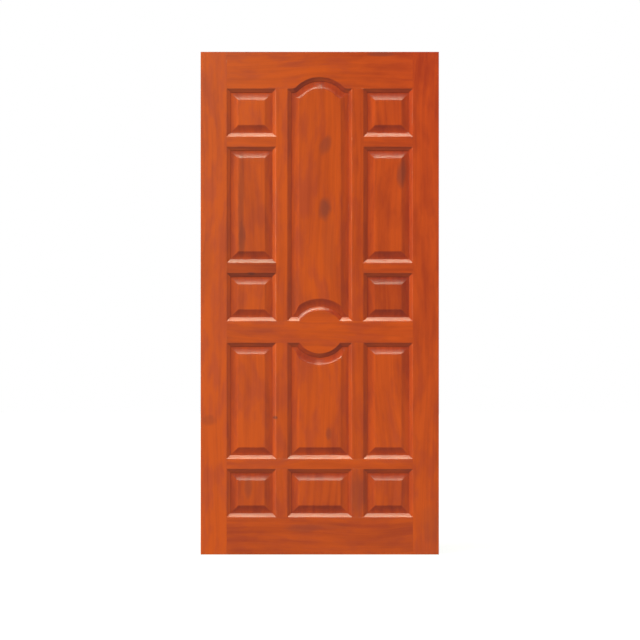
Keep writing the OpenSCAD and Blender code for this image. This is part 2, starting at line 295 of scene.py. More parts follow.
def vector(tree, operation, a, b=(0.0, 0.0, 0.0)):
    """A vector math node's vector result."""
    return put(tree, "ShaderNodeVectorMath", {0: a, 1: b}, operation=operation).outputs["Vector"]


def joined(tree, x=0.0, y=0.0, z=0.0):
    """Three numbers as one vector."""
    return put(tree, "ShaderNodeCombineXYZ", {0: x, 1: y, 2: z}).outputs[0]


def split(tree, value):
    """A vector's three numbers."""
    return put(tree, "ShaderNodeSeparateXYZ", {0: value}).outputs


def new_tree(name, inputs):
    """An empty geometry tree with named inputs; returns it with its input node."""
    tree = bpy.data.node_groups.new(name, "GeometryNodeTree")
    for label, kind in inputs:
        tree.interface.new_socket(label, in_out="INPUT", socket_type=kind)
    tree.interface.new_socket("Geometry", in_out="OUTPUT", socket_type="NodeSocketGeometry")
    return tree, tree.nodes.new("NodeGroupInput").outputs


def named(tree, name):
    """A number that the mesh's points carry."""
    return put(tree, "GeometryNodeInputNamedAttribute", {"Name": name}, data_type="FLOAT").outputs[0]


def store_stain_and_shade(tree, values):
    """A mesh with the staining and painted shade of its points stored."""
    values = {"Name": "stain", **values}
    return put(tree, "GeometryNodeStoreNamedAttribute", values, data_type="FLOAT", domain="POINT").outputs[0]


def merged(tree, *parts):
    """Meshes joined into one, with doubled points merged."""
    both = put(tree, "GeometryNodeJoinGeometry")
    for part in parts:
        tree.links.new(part, both.inputs[0])
    values = {"Geometry": both.outputs[0], "Distance": MERGE}
    return put(tree, "GeometryNodeMergeByDistance", values).outputs[0]


def times(tree, first, *more):
    """The product of several numbers."""
    for factor in more:
        first = calc(tree, "MULTIPLY", first, factor)
    return first


def close_tree(tree, geometry, material):
    """Ends a geometry tree in plain faces with their material."""
    plain = put(tree, "GeometryNodeRealizeInstances", {"Geometry": geometry}).outputs[0]
    dressed = put(tree, "GeometryNodeSetMaterial", {"Geometry": plain, "Material": material}).outputs[0]
    end = tree.nodes.new("NodeGroupOutput")
    tree.links.new(dressed, end.inputs[0])


def member_tree():
    """Runs a section along a length and copes both ends over the moulding that they meet."""
    tree, given = new_tree(
        "moulded_member",
        (
            ("Section", "NodeSocketObject"),
            ("Length", "NodeSocketFloat"),
            ("Cope", "NodeSocketFloat"),
            ("Joint line", "NodeSocketFloat"),
            ("End ease", "NodeSocketFloat"),
            ("Material", "NodeSocketMaterial"),
        ),
    )
    section = put(tree, "GeometryNodeObjectInfo", {"Object": given["Section"]}).outputs["Geometry"]
    body = section
    middle = calc(tree, "MULTIPLY_ADD", given["Joint line"], -2.0, given["Length"])
    for run in (given["Joint line"], middle, given["Joint line"]):
        body = put(
            tree,
            "GeometryNodeExtrudeMesh",
            {"Mesh": body, "Offset": joined(tree, run), "Individual": False},
            mode="FACES",
        ).outputs["Mesh"]
    start = put(tree, "GeometryNodeFlipFaces", {"Mesh": section}).outputs[0]
    whole = merged(tree, start, body)

    place = split(tree, put(tree, "GeometryNodeInputPosition").outputs[0])
    half = times(tree, given["Length"], 0.5)
    from_middle = calc(tree, "SUBTRACT", place[0], half)
    inward = times(tree, calc(tree, "SIGN", from_middle), -1.0)
    shift = times(tree, named(tree, "inset"), given["Cope"], inward)
    last = calc(tree, "SUBTRACT", half, times(tree, given["Joint line"], 0.5))
    at_end = calc(tree, "GREATER_THAN", calc(tree, "ABSOLUTE", from_middle), last)
    drop = times(tree, place[2], given["End ease"], times(tree, at_end, -1.0))
    offset = joined(tree, shift, 0.0, drop)
    cut = put(tree, "GeometryNodeSetPosition", {"Geometry": whole, "Offset": offset}).outputs[0]
    shoulder = times(tree, at_end, given["Cope"], SHOULDER_STAIN)
    stain = calc(tree, "MAXIMUM", named(tree, "stain"), shoulder)
    close_tree(tree, store_stain_and_shade(tree, {"Geometry": cut, "Value": stain}), given["Material"])
    return tree


def panel_tree():
    """Grows a raised border outwards from a flat field, one station of its section at a time."""
    tree, given = new_tree(
        "raised_panel",
        (
            ("Border", "NodeSocketObject"),
            ("Field width", "NodeSocketFloat"),
            ("Field height", "NodeSocketFloat"),
            ("Field thickness", "NodeSocketFloat"),
            ("Material", "NodeSocketMaterial"),
        ),
    )
    border = put(tree, "GeometryNodeObjectInfo", {"Object": given["Border"]}).outputs["Geometry"]
    half = times(tree, given["Field thickness"], 0.5)
    field = put(
        tree,
        "GeometryNodeMeshGrid",
        {"Size X": given["Field width"], "Size Y": given["Field height"], "Vertices X": 2, "Vertices Y": 2},
    ).outputs["Mesh"]
    front, under = (
        put(tree, "GeometryNodeTransform", {"Geometry": field, "Translation": rise}).outputs[0]
        for rise in (joined(tree, z=half), joined(tree, z=times(tree, half, -1.0)))
    )
    back = put(tree, "GeometryNodeFlipFaces", {"Mesh": under}).outputs[0]

    count = put(tree, "GeometryNodeAttributeDomainSize", {"Geometry": border}, component="MESH").outputs[0]
    begin = tree.nodes.new("GeometryNodeRepeatInput")
    finish = tree.nodes.new("GeometryNodeRepeatOutput")
    begin.pair_with_output(finish)
    feed(tree, begin.inputs["Iterations"], calc(tree, "SUBTRACT", count, 1.0))
    tree.links.new(front, begin.inputs["Geometry"])
    here = begin.outputs["Iteration"]
    after = calc(tree, "ADD", here, 1.0)
    spot = put(tree, "GeometryNodeInputPosition").outputs[0]
    border_stain_and_shade = named(tree, "stain")

    def station(kind, value, index):
        """The border section's value at one of its points."""
        return put(
            tree,
            "GeometryNodeSampleIndex",
            {"Geometry": border, "Value": value, "Index": index},
            data_type=kind,
            domain="POINT",
        ).outputs[0]

    run = vector(tree, "SUBTRACT", station("FLOAT_VECTOR", spot, after), station("FLOAT_VECTOR", spot, here))
    run_x, _run_y, run_z = split(tree, run)
    x, y, _z = split(tree, spot)
    faces = put(tree, "GeometryNodeInputMeshEdgeNeighbors").outputs[0]
    rim = calc(tree, "LESS_THAN", faces, 1.5)
    grown = put(
        tree,
        "GeometryNodeExtrudeMesh",
        {"Mesh": begin.outputs["Geometry"], "Selection": rim, "Offset": (0.0, 0.0, 0.0), "Offset Scale": 0.0},
        mode="EDGES",
    )
    out_x, out_y = (times(tree, calc(tree, "SIGN", side), run_x) for side in (x, y))
    step = joined(tree, out_x, out_y, run_z)
    moved = put(
        tree,
        "GeometryNodeSetPosition",
        {"Geometry": grown.outputs["Mesh"], "Selection": grown.outputs["Top"], "Offset": step},
    ).outputs[0]
    mark = {"Geometry": moved, "Selection": grown.outputs["Top"], "Value": station("FLOAT", border_stain_and_shade, after)}
    tree.links.new(store_stain_and_shade(tree, mark), finish.inputs["Geometry"])
    close_tree(tree, merged(tree, finish.outputs["Geometry"], back), given["Material"])
    return tree


# Varnished wood

# knots and dark patches: x, z, half width, half height in millimetres, lean in degrees, strength
UPRIGHT_MARKS = (
    (23, 1716, 21, 37, 25, 0.42), (22, 1451, 22, 44, 4, 0.66), (-331, 1480, 12, 180, 1, 0.42),
    (-327, 1325, 14, 70, 2, 0.55), (345, 1602, 18, 55, 4, 0.55), (-186, 575, 10, 6, 0, 0.8),
    (37, 507, 12, 23, 0, 0.45), (-467, 563, 28, 20, 0, 0.32), (-299, 284, 16, 42, 0, 0.42),
    (157, 250, 26, 85, 0, 0.34), (-478, 1215, 26, 120, 2, 0.2), (38, 1300, 28, 130, -3, 0.17),
    (-108, 1100, 24, 85, 3, 0.24), (466, 125, 40, 70, -8, 0.24), (-109, 470, 22, 70, 0, 0.22),
)
LEVEL_MARKS = (
    (257, 2101, 55, 9, 0, 0.5), (-68, 112, 66, 16, 0, 0.3), (60, 120, 60, 12, 0, 0.2),
    (-250, 940, 58, 9, 0, 0.15), (-287, 1179, 15, 6, 0, 0.6),
)
# waves a metre of each part of the figure: across the grain, through the leaf, along the grain
WANDER = (2.5, 2.5, 0.9)
CLOUD = (10.0, 10.0, 2.0)
PATCH = (22.0, 22.0, 5.5)
STREAK = (75.0, 75.0, 1.8)
FIBRE = (420.0, 420.0, 9.0)
PORE = (1100.0, 1100.0, 60.0)
RAGGED = (45.0, 45.0, 18.0)
RAGGED_SHARE = 1.5  # how ragged a mark's outline is
# how far each part of the figure darkens the wood, and how far it stands up under the varnish
STREAK_DARK, CLOUD_DARK, PATCH_DARK, PORE_DARK, FIBRE_DARK = 0.26, 0.22, 0.10, 0.12, 0.25
STREAK_RISE, FIBRE_RISE, PORE_SINK = 0.8, 0.6, 0.8
RELIEF = 0.4 * MM  # height of the grain under the varnish
RELIEF_SHARE = 0.12  # how much of it shows
GLOSS_SPREAD = 0.08  # how far the streaks vary the gloss
PATCH_SHIFT = (3.7, 1.3, 5.9)  # sets the patches apart from the clouds, in metres
BEND = 0.16  # how far the grain wanders, in metres for the whole range of the noise
PAINTED_SHEEN_GROWTH = -1.1  # growth of the painted sheen towards the upper left, for each square metre
PAINTED_SHEEN_COLOUR = (0.009, 0.0125, 0.010)  # colour that the painted sheen adds
LEAST = (0.0, 0.0, 0.0005)  # darkest colour that the painted sheen may leave
STAIN_AND_SHADE_DEPTH = 0.45  # share of the light that full staining and painted shade take
END_GRAIN_DEPTH = 0.19  # share that end grain takes
STAIN_AND_SHADE_GREEN, STAIN_AND_SHADE_BLUE = 2.1, 3.5  # how much faster staining and painted shade take green and blue than red
VARNISH_IOR = 1.305


def noise(tree, place, scale, detail=2.0, rough=0.5):
    """A noise value stretched by a scale for each direction."""
    stretched = vector(tree, "MULTIPLY", place, scale)
    return put(
        tree,
        "ShaderNodeTexNoise",
        {"Vector": stretched, "Scale": 1.0, "Detail": detail, "Roughness": rough},
        noise_dimensions="3D",
    ).outputs[0]


def ranged(tree, value, low, high, to_low=0.0, to_high=1.0):
    """A value moved from one range to another with smooth ends."""
    return put(
        tree,
        "ShaderNodeMapRange",
        {"Value": value, "From Min": low, "From Max": high, "To Min": to_low, "To Max": to_high},
        interpolation_type="SMOOTHSTEP",
    ).outputs[0]


def blend(tree, factor, a, b, mode="MIX"):
    """Two colours mixed."""
    node = put(tree, "ShaderNodeMix", data_type="RGBA", blend_type=mode)
    feed(tree, node.inputs[0], factor)
    feed(tree, node.inputs[6], a)
    feed(tree, node.inputs[7], b)
    return node.outputs[2]


def varnished_wood(name, level):
    """Clear-varnished reddish wood whose grain runs up the leaf, or across it where level."""
    look = bpy.context.scene.door_varnish
    material = bpy.data.materials.new(name)
    material.use_nodes = True
    tree = material.node_tree
    tree.nodes.clear()
    spot = put(tree, "ShaderNodeTexCoord").outputs["Object"]
    x, y, z = split(tree, spot)
    grain = joined(tree, z, y, x) if level else spot
    shift = put(tree, "ShaderNodeAttribute", attribute_name="figure").outputs["Vector"]
    place = vector(tree, "ADD", grain, shift)
    tone = put(tree, "ShaderNodeAttribute", attribute_name="tone").outputs["Fac"]
    stain = put(tree, "ShaderNodeAttribute", attribute_name="stain").outputs["Fac"]

    bend = times(tree, calc(tree, "SUBTRACT", noise(tree, place, WANDER), 0.5), BEND)
    bent = vector(tree, "ADD", place, joined(tree, bend))
    cloud = ranged(tree, noise(tree, bent, CLOUD, 3.0, 0.55), 0.38, 0.68)
    patch = noise(tree, vector(tree, "ADD", bent, PATCH_SHIFT), PATCH, 3.0, 0.6)
    patch = ranged(tree, patch, 0.40, 0.68)
    streak = noise(tree, bent, STREAK, 3.0, 0.6)
    fibre = noise(tree, place, FIBRE, 2.0, 0.6)
    pore = ranged(tree, noise(tree, place, PORE, 1.0), 0.62, 0.74)

    colour = blend(tree, patch, (*look.heart, 1.0), (*look.red, 1.0))
    dark = times(tree, ranged(tree, streak, 0.35, 0.75), STREAK_DARK)
    for layer, share in ((cloud, CLOUD_DARK), (patch, PATCH_DARK), (pore, PORE_DARK)):
        dark = calc(tree, "MULTIPLY_ADD", layer, share, dark)
    dark = calc(tree, "MULTIPLY_ADD", calc(tree, "SUBTRACT", fibre, 0.5), FIBRE_DARK, dark)
    dark = calc(tree, "SUBTRACT", dark, tone)
    dark = put(tree, "ShaderNodeClamp", {0: dark, 1: 0.0, 2: 1.0}).outputs[0]
    colour = blend(tree, dark, colour, (*look.dark, 1.0))

    # painted sheen: a pale veil added towards the upper left and taken off towards the upper right, standing
    # in for a soft reflection
    painted_sheen = times(tree, x, PAINTED_SHEEN_GROWTH, z)
    painted_sheen = vector(tree, "MULTIPLY", joined(tree, painted_sheen, painted_sheen, painted_sheen), PAINTED_SHEEN_COLOUR)
    colour = vector(tree, "MAXIMUM", vector(tree, "ADD", colour, painted_sheen), LEAST)

    ragged = calc(tree, "SUBTRACT", noise(tree, bent, RAGGED), 0.5)
    for mark_x, mark_z, wide, high, lean, strength in LEVEL_MARKS if level else UPRIGHT_MARKS:
        lean_x, lean_z = math.sin(math.radians(lean)), math.cos(math.radians(lean))
        dx, dz = calc(tree, "SUBTRACT", x, mark_x * MM), calc(tree, "SUBTRACT", z, mark_z * MM)
        across = calc(tree, "MULTIPLY_ADD", dx, lean_z, times(tree, dz, -lean_x))
        along = calc(tree, "MULTIPLY_ADD", dx, lean_x, times(tree, dz, lean_z))
        away = calc(tree, "POWER", calc(tree, "DIVIDE", across, wide * MM), 2.0)
        away = calc(tree, "ADD", away, calc(tree, "POWER", calc(tree, "DIVIDE", along, high * MM), 2.0))
        away = calc(tree, "MULTIPLY_ADD", ragged, RAGGED_SHARE, away)
        eye = ranged(tree, away, 2.0, 0.1, 0.0, strength)
        colour = blend(tree, eye, colour, (*look.smoke, 1.0))

    slope = split(tree, put(tree, "ShaderNodeNewGeometry").outputs["Normal"])
    end_grain = ranged(tree, calc(tree, "ABSOLUTE", slope[0 if level else 2]), 0.0, 0.2)
    # real staining and painted shade: the stain attribute darkens the wood and deepens its red
    left = calc(tree, "SUBTRACT", 1.0, times(tree, stain, STAIN_AND_SHADE_DEPTH))
    left = times(tree, left, calc(tree, "MULTIPLY_ADD", end_grain, -END_GRAIN_DEPTH, 1.0))
    stain_and_shade_tint = joined(tree, left, calc(tree, "POWER", left, STAIN_AND_SHADE_GREEN), calc(tree, "POWER", left, STAIN_AND_SHADE_BLUE))
    stained_and_shaded_colour = vector(tree, "MULTIPLY", colour, stain_and_shade_tint)

    rough = calc(tree, "MULTIPLY_ADD", calc(tree, "SUBTRACT", streak, 0.5), GLOSS_SPREAD, look.gloss)
    height = calc(tree, "SUBTRACT", times(tree, fibre, FIBRE_RISE), times(tree, pore, PORE_SINK))
    height = calc(tree, "ADD", height, times(tree, streak, STREAK_RISE))
    relief = {"Strength": RELIEF_SHARE, "Distance": RELIEF, "Height": height}
    bump = put(tree, "ShaderNodeBump", relief).outputs[0]
    shader = put(
        tree,
        "ShaderNodeBsdfPrincipled",
        {"Base Color": stained_and_shaded_colour, "Roughness": rough, "IOR": VARNISH_IOR, "Normal": bump},
    )
    end = tree.nodes.new("ShaderNodeOutputMaterial")
    tree.links.new(shader.outputs[0], end.inputs["Surface"])
    return material


def wood(level):
    """The wood with upright or level grain, made once."""
    name = "varnished_wood_level" if level else "varnished_wood_upright"
    return bpy.data.materials.get(name) or varnished_wood(name, level)


# Finishing of a piece

MITRE_TURN = math.radians(20)  # faces that turn further than this in plan meet in a mitre
MITRE_LEAN = 0.02  # a face whose normal leans less than this lies flat
SHARP_TURN = math.radians(34)  # faces that turn further than this meet in a sharp edge
FACE_WEIGHT = 90  # how far broad faces rule the shading
LOG_STEP = 0.731  # distance along the log between one piece and the next, in metres
TONES = {
    # lighter above 0, darker below; the order is the order of the cuts from the log
    "left_stile": 0.16, "right_stile": -0.06, "top_rail": 0.02, "lock_rail": -0.02, "lower_rail": 0.0,
    "bottom_rail": -0.2, "upper_left_muntin": 0.08, "upper_right_muntin": -0.1,
    "lower_left_muntin": 0.01, "lower_right_muntin": -0.14, "bottom_left_muntin": -0.08,
    "bottom_right_muntin": -0.1, "high_left_cross_rail": 0.06, "low_left_cross_rail": -0.5,
    "high_right_cross_rail": -0.03, "low_right_cross_rail": -0.03, "top_left_panel": 0.28,
    "upper_left_panel": -0.04, "middle_left_panel": -0.04, "lower_left_panel": 0.05,
    "bottom_left_panel": -0.12, "top_right_panel": -0.02, "upper_right_panel": -0.04,
    "middle_right_panel": -0.24, "lower_right_panel": 0.06, "bottom_right_panel": -0.08,
    "arched_panel": 0.0, "lower_centre_panel": 0.03, "bottom_centre_panel": -0.1,
}


def is_mitre(edge):
    """True where two sloping faces meet at a corner of an outline."""
    if len(edge.link_faces) != 2:
        return False
    a, b = (Vector((face.normal.x, face.normal.z)) for face in edge.link_faces)
    return min(a.length, b.length) > MITRE_LEAN and a.angle(b) > MITRE_TURN


def place_in_log(node, level):
    """How far a piece's figure is moved, so that each is cut from its own place in the log."""
    order = list(TONES).index(node)
    low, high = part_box(node)
    middle = (Vector(low) + Vector(high)) / 2
    across = middle.z if level else middle.x
    heart = 0.05 * math.sin(2.4 * order + 0.6)
    deep = 0.03 + 0.05 * (0.5 + 0.5 * math.sin(1.7 * order))
    return heart - across, deep, LOG_STEP * order


def dress(mesh, node, level):
    """Turns a finished mesh into the piece that stands for a node of the frame."""
    clean = bmesh.new()
    clean.from_mesh(mesh)
    bmesh.ops.remove_doubles(clean, verts=clean.verts, dist=MERGE)
    bmesh.ops.dissolve_degenerate(clean, edges=clean.edges, dist=MERGE / 10)
    bmesh.ops.recalc_face_normals(clean, faces=clean.faces)
    clean.normal_update()
    clean.edges.index_update()
    mitres = [edge.index for edge in clean.edges if is_mitre(edge)]
    clean.to_mesh(mesh)
    clean.free()
    mesh.materials.clear()
    mesh.materials.append(wood(level))
    count = len(mesh.vertices)
    figure = mesh.attributes.new("figure", "FLOAT_VECTOR", "POINT")
    figure.data.foreach_set("vector", place_in_log(node, level) * count)
    tone = mesh.attributes.new("tone", "FLOAT", "POINT")
    tone.data.foreach_set("value", (TONES[node],) * count)
    mesh.shade_smooth()
    mesh.set_sharp_from_angle(angle=SHARP_TURN)
    for index in mitres:
        mesh.edges[index].use_edge_sharp = True
    piece = bpy.data.objects.new("wood_" + node, mesh)
    bpy.context.scene.collection.objects.link(piece)
    weigh = piece.modifiers.new("Flat faces stay flat", "WEIGHTED_NORMAL")
    weigh.keep_sharp = True
    weigh.weight = FACE_WEIGHT
    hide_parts(node)
    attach(piece, "root")


def set_inputs(modifier, values):
    """Sets a tree's inputs by their identifiers."""
    for item in modifier.node_group.interface.items_tree:
        if item.item_type == "SOCKET" and item.in_out == "INPUT" and item.name in values:
            modifier[item.identifier] = values[item.name]


def grown_mesh(tree, values, name):
    """The plain mesh that a geometry tree makes from its inputs."""
    seed = bpy.data.objects.new(name + "_seed", bpy.data.meshes.new(name + "_seed"))
    bpy.context.scene.collection.objects.link(seed)
    modifier = seed.modifiers.new("grow", "NODES")
    modifier.node_group = tree
    set_inputs(modifier, values)
    graph = bpy.context.evaluated_depsgraph_get()
    graph.update()
    mesh = bpy.data.meshes.new_from_object(seed.evaluated_get(graph), depsgraph=graph)
    mesh.name = name
    forget(seed)
    return mesh


def section_object(name, points, faced):
    """A helper that holds a section's points as a face or as a row of points."""
    mesh = bpy.data.meshes.new(name)
    count = len(points)
    edges = [] if faced else [(i, i + 1) for i in range(count - 1)]
    mesh.from_pydata([point[0] for point in points], edges, [tuple(range(count))] if faced else [])
    for key in ("inset", "stain"):
        layer = mesh.attributes.new(key, "FLOAT", "POINT")
        layer.data.foreach_set("value", [point[1][key] for point in points])
    helper = bpy.data.objects.new(name, mesh)
    bpy.context.scene.collection.objects.link(helper)
    return helper


def forget(helper):
    """Removes a helper and its mesh."""
    mesh = helper.data
    bpy.data.objects.remove(helper)
    bpy.data.meshes.remove(mesh)


def board_points(face_w, low_edge, high_edge):
    """Section across a board's length, moulded where asked and else with an eased plain edge."""
    loop = []
    for moulded, sign in ((high_edge, 1.0), (low_edge, -1.0)):
        for past, high, stain in edge_run(moulded):
            inset = max(past, 0.0) if moulded else 0.0
            point = (0.0, sign * (face_w / 2 + past), sign * high)
            loop.append((point, {"inset": inset, "stain": stain}))
    return loop


def member_mesh(node, face_w, run, level, low_edge=True, high_edge=True, coped=True):
    """A straight member along x, centred across, its section eased and its ends coped or cut square."""
    p = profile()
    tree = bpy.data.node_groups.get("moulded_member") or member_tree()
    helper = section_object(node + "_section", board_points(face_w, low_edge, high_edge), True)
    mesh = grown_mesh(
        tree,
        {
            "Section": helper,
            "Length": run,
            "Cope": 1.0 if coped else 0.0,
            "Joint line": p.joint_line if coped else p.ease,
            "End ease": SHOULDER_SINK if coped else SQUARE_SINK,
            "Material": wood(level),
        },
        node,
    )
    forget(helper)
    return mesh


def rail(node, low_z, face_h, from_x, to_x, low_edge=True):
    """A straight rail between two uprights."""
    mesh = member_mesh(node, face_h, to_x - from_x, True, low_edge)
    mesh.transform(Matrix.Translation((from_x, 0.0, low_z + face_h / 2)) @ FACE_UP)
    dress(mesh, node, True)


def upright(node, mid_x, face_w, from_z, to_z, left_edge=True, right_edge=True, coped=True):
    """A straight stile or muntin."""
    mesh = member_mesh(node, face_w, to_z - from_z, False, right_edge, left_edge, coped)
    mesh.transform(Matrix.Translation((mid_x, 0.0, from_z)) @ GRAIN_UP)
    dress(mesh, node, False)


def plain_panel(node, mid_x, low_z, wide, high):
    """A raised panel with four straight sides."""
    tree = bpy.data.node_groups.get("raised_panel") or panel_tree()
    rows = both_faces(border_line())
    start = rows[0][0]
    points = [((start - inset, 0.0, high_y), {"inset": 0.0, "stain": stain}) for inset, high_y, stain in rows]
    helper = section_object(node + "_border", points, False)
    mesh = grown_mesh(
        tree,
        {
            "Border": helper,
            "Field width": wide - 2 * start,
            "Field height": high - 2 * start,
            "Field thickness": profile().field_t,
            "Material": wood(False),
        },
        node,
    )
    forget(helper)
    mesh.transform(Matrix.Translation((mid_x, 0.0, low_z + high / 2)) @ FACE_UP)
    dress(mesh, node, False)


# Outlines of the shaped pieces, in the plane of the leaf

def hump_shape():
    """Radius of a hump and how far its centre lies inside the lock rail's edge."""
    f = leaf()
    radius = ((f.hump_w / 2) ** 2 + f.hump_rise**2) / (2 * f.hump_rise)
    return radius, radius - f.hump_rise


def arch_shape():
    """Half width, turn, radius and centre of the arch, the centre measured from its shoulders."""
    f = leaf()
    half = f.centre_opening_w / 2 - f.arch_shoulder
    turn = 2 * math.atan(f.arch_rise / half)
    radius = half / math.sin(turn) - f.cove_r
    return half, turn, radius, f.arch_rise - radius


def hump_edge(inset, reach, steps=28):
    """Edge with a hump, from -reach to reach; heights are measured into the opening."""
    radius, sink = hump_shape()
    big = radius + inset
    corner = min(math.sqrt(big**2 - (sink + inset) ** 2), reach)
    turn = math.asin(corner / big)
    foot = big * math.cos(turn) - sink
    row = [(-reach, foot), (-corner, foot)]
    for i in range(1, steps):
        a = turn * (2 * i / steps - 1)
        row.append((big * math.sin(a), big * math.cos(a) - sink))
    return row + [(corner, foot), (reach, foot)]


def arch_edge(inset, reach, steps=30, cove_steps=8):
    """Arched edge from -reach to reach; heights are measured up from the shoulders."""
    f = leaf()
    half, turn, radius, centre = arch_shape()
    big, small = f.cove_r + inset, radius - inset
    first = math.asin(max(half - reach, 0.0) / big)
    foot = f.cove_r - big * math.cos(first)
    side = [(reach, foot)]
    for i in range(cove_steps):
        a = first + (turn - first) * i / cove_steps
        side.append((half - big * math.sin(a), f.cove_r - big * math.cos(a)))
    row = [(-x, z) for x, z in side]
    for i in range(steps + 1):
        a = turn * (2 * i / steps - 1)
        row.append((small * math.sin(a), centre + small * math.cos(a)))
    return row + list(reversed(side))


def shell(rows, along):
    """Faces over rows of points with their staining and painted shade.

    Where along is true the rows run along a rail and close round it, and its two ends are capped.
    Otherwise each row is a closed outline, and the first and the last are capped.
    """
    build = bmesh.new()
    stain = build.verts.layers.float.new("stain")
    grid = []
    for points, row_stain_and_shade in rows:
        line = [build.verts.new(point) for point in points]
        for vert, value in zip(line, row_stain_and_shade):
            vert[stain] = value
        grid.append(line)
    if along:
        pairs = zip(grid, grid[1:] + grid[:1])
        caps = ([line[0] for line in grid], [line[-1] for line in reversed(grid)])
    else:
        pairs = zip(grid, grid[1:])
        caps = (list(reversed(grid[0])), grid[-1])
    count = len(grid[0])
    for a, b in pairs:
        for j in range(count - 1 if along else count):
            k = (j + 1) % count
            build.faces.new((a[j], a[k], b[k], b[j]))
    for cap in caps:
        build.faces.new(cap)
    return build


def as_mesh(build, name):
    """A mesh from finished faces, with doubled points merged."""
    bmesh.ops.remove_doubles(build, verts=build.verts, dist=MERGE)
    mesh = bpy.data.meshes.new(name)
    build.to_mesh(mesh)
    build.free()
    return mesh


def with_shoulders(points, line_w):
    """A rail's row with a narrow strip at each end for the joint line."""
    reach = points[-1][0]
    first_z, last_z = points[0][1], points[-1][1]
    start = [(-reach, first_z), (line_w - reach, first_z)]
    end = [(reach - line_w, last_z), (reach, last_z)]
    return start + points[1:-1] + end


def shaped_rail(node, upper, lower):
    """A rail whose upper or lower edge follows an outline.

    upper and lower are each a pair: a function of the inset and the reach that gives the edge as (x, z),
    and whether that edge is moulded.
    """
    stile_x = levels()["stile_x"]
    rows = []
    for (edge, moulded), face in ((upper, -1.0), (lower, 1.0)):
        for inset, high, stain in edge_run(moulded):
            points = with_shoulders(edge(inset, stile_x - max(inset, 0.0)), profile().joint_line)
            row = [(x, face * high, z) for x, z in points]
            row_stain_and_shade = [stain] * len(points)
            for end in (0, -1):
                x, z = points[end]
                row[end] = (x, face * high * (1 - SHOULDER_SINK), z)
                row_stain_and_shade[end] = max(stain, SHOULDER_STAIN)
            rows.append((row, row_stain_and_shade))
    dress(as_mesh(shell(rows, True), node), node, True)


def shaped_panel(node, low_z, high_z, wide, top, bottom):
    """A raised panel whose head or foot follows an outline."""
    rows = []
    for inset, high, stain in both_faces(border_line()):
        reach = wide / 2 - inset
        foot = [(x, -high, low_z + z) for x, z in bottom(inset, reach)]
        head = [(x, -high, high_z - z) for x, z in reversed(top(inset, reach))]
        outline = foot + head
        rows.append((outline, [stain] * len(outline)))
    dress(as_mesh(shell(rows, False), node), node, False)


# Operators

SIDES = (("_left_", -1.0), ("_right_", 1.0))


class DOOR_OT_stiles(bpy.types.Operator):
    """Build the two stiles, full height, moulded on their inner edges"""

    bl_idname = "door.stiles"
    bl_label = "Stiles"

    def execute(self, context):
        f = leaf()
        middle = f.leaf_w / 2 - f.stile_w / 2
        upright("left_stile", -middle, f.stile_w, 0.0, f.leaf_h, left_edge=False, coped=False)
        upright("right_stile", middle, f.stile_w, 0.0, f.leaf_h, right_edge=False, coped=False)
        return {"FINISHED"}


class DOOR_OT_straight_rails(bpy.types.Operator):
    """Build the lower rail, the bottom rail and the four cross rails"""

    bl_idname = "door.straight_rails"
    bl_label = "Straight rails"

    def execute(self, context):
        f = leaf()
        at = levels()
        side = at["stile_x"]
        rail("lower_rail", at["lower_z"], f.cross_rail_h, -side, side)
        rail("bottom_rail", 0.0, f.bottom_rail_h, -side, side, low_edge=False)
        near = at["muntin_x"] + f.muntin_w / 2
        for level in ("high", "low"):
            low_z = at[level + "_cross_z"]
            rail(level + "_left_cross_rail", low_z, f.cross_rail_h, -side, -near)
            rail(level + "_right_cross_rail", low_z, f.cross_rail_h, near, side)
        return {"FINISHED"}


class DOOR_OT_shaped_rails(bpy.types.Operator):
    """Build the arched top rail and the lock rail with its two humps"""

    bl_idname = "door.shaped_rails"
    bl_label = "Shaped rails"

    def execute(self, context):
        f = leaf()
        at = levels()

        def arched(inset, reach):
            return [(x, at["top_z"] + z) for x, z in arch_edge(inset, reach)]

        def head(inset, reach):
            base = arch_edge(0.0, at["stile_x"])
            return [(max(-reach, min(reach, x)), f.leaf_h + inset) for x, _z in base]

        def hump_up(inset, reach):
            return [(x, at["lock_top_z"] + z) for x, z in hump_edge(inset, reach)]

        def hump_down(inset, reach):
            return [(x, f.lock_rail_z - z) for x, z in hump_edge(inset, reach)]

        shaped_rail("top_rail", (head, False), (arched, True))
        shaped_rail("lock_rail", (hump_up, True), (hump_down, True))
        return {"FINISHED"}


class DOOR_OT_muntins(bpy.types.Operator):
    """Build the six muntins that stand between the rails"""

    bl_idname = "door.muntins"
    bl_label = "Muntins"

    def execute(self, context):
        f = leaf()
        at = levels()
        runs = {
            "upper": (at["lock_top_z"], at["top_z"]),
            "lower": (at["lower_top_z"], f.lock_rail_z),
            "bottom": (f.bottom_rail_h, at["lower_z"]),
        }
        for row, (low_z, high_z) in runs.items():
            for side, sign in SIDES:
                upright(row + side + "muntin", sign * at["muntin_x"], f.muntin_w, low_z, high_z)
        return {"FINISHED"}


class DOOR_OT_plain_panels(bpy.types.Operator):
    """Build the eleven raised panels with straight sides"""

    bl_idname = "door.plain_panels"
    bl_label = "Plain panels"

    def execute(self, context):
        f = leaf()
        at = levels()
        cells = {
            "top": (at["high_cross_z"] + f.cross_rail_h, at["top_z"]),
            "upper": (at["low_cross_z"] + f.cross_rail_h, at["high_cross_z"]),
            "middle": (at["lock_top_z"], at["low_cross_z"]),
            "lower": (at["lower_top_z"], f.lock_rail_z),
            "bottom": (f.bottom_rail_h, at["lower_z"]),
        }
        for row, (low_z, high_z) in cells.items():
            for side, sign in SIDES:
                plain_panel(row + side + "panel", sign * at["side_x"], low_z, at["side_w"], high_z - low_z)
        low_z, high_z = cells["bottom"]
        plain_panel("bottom_centre_panel", 0.0, low_z, f.centre_opening_w, high_z - low_z)
        return {"FINISHED"}


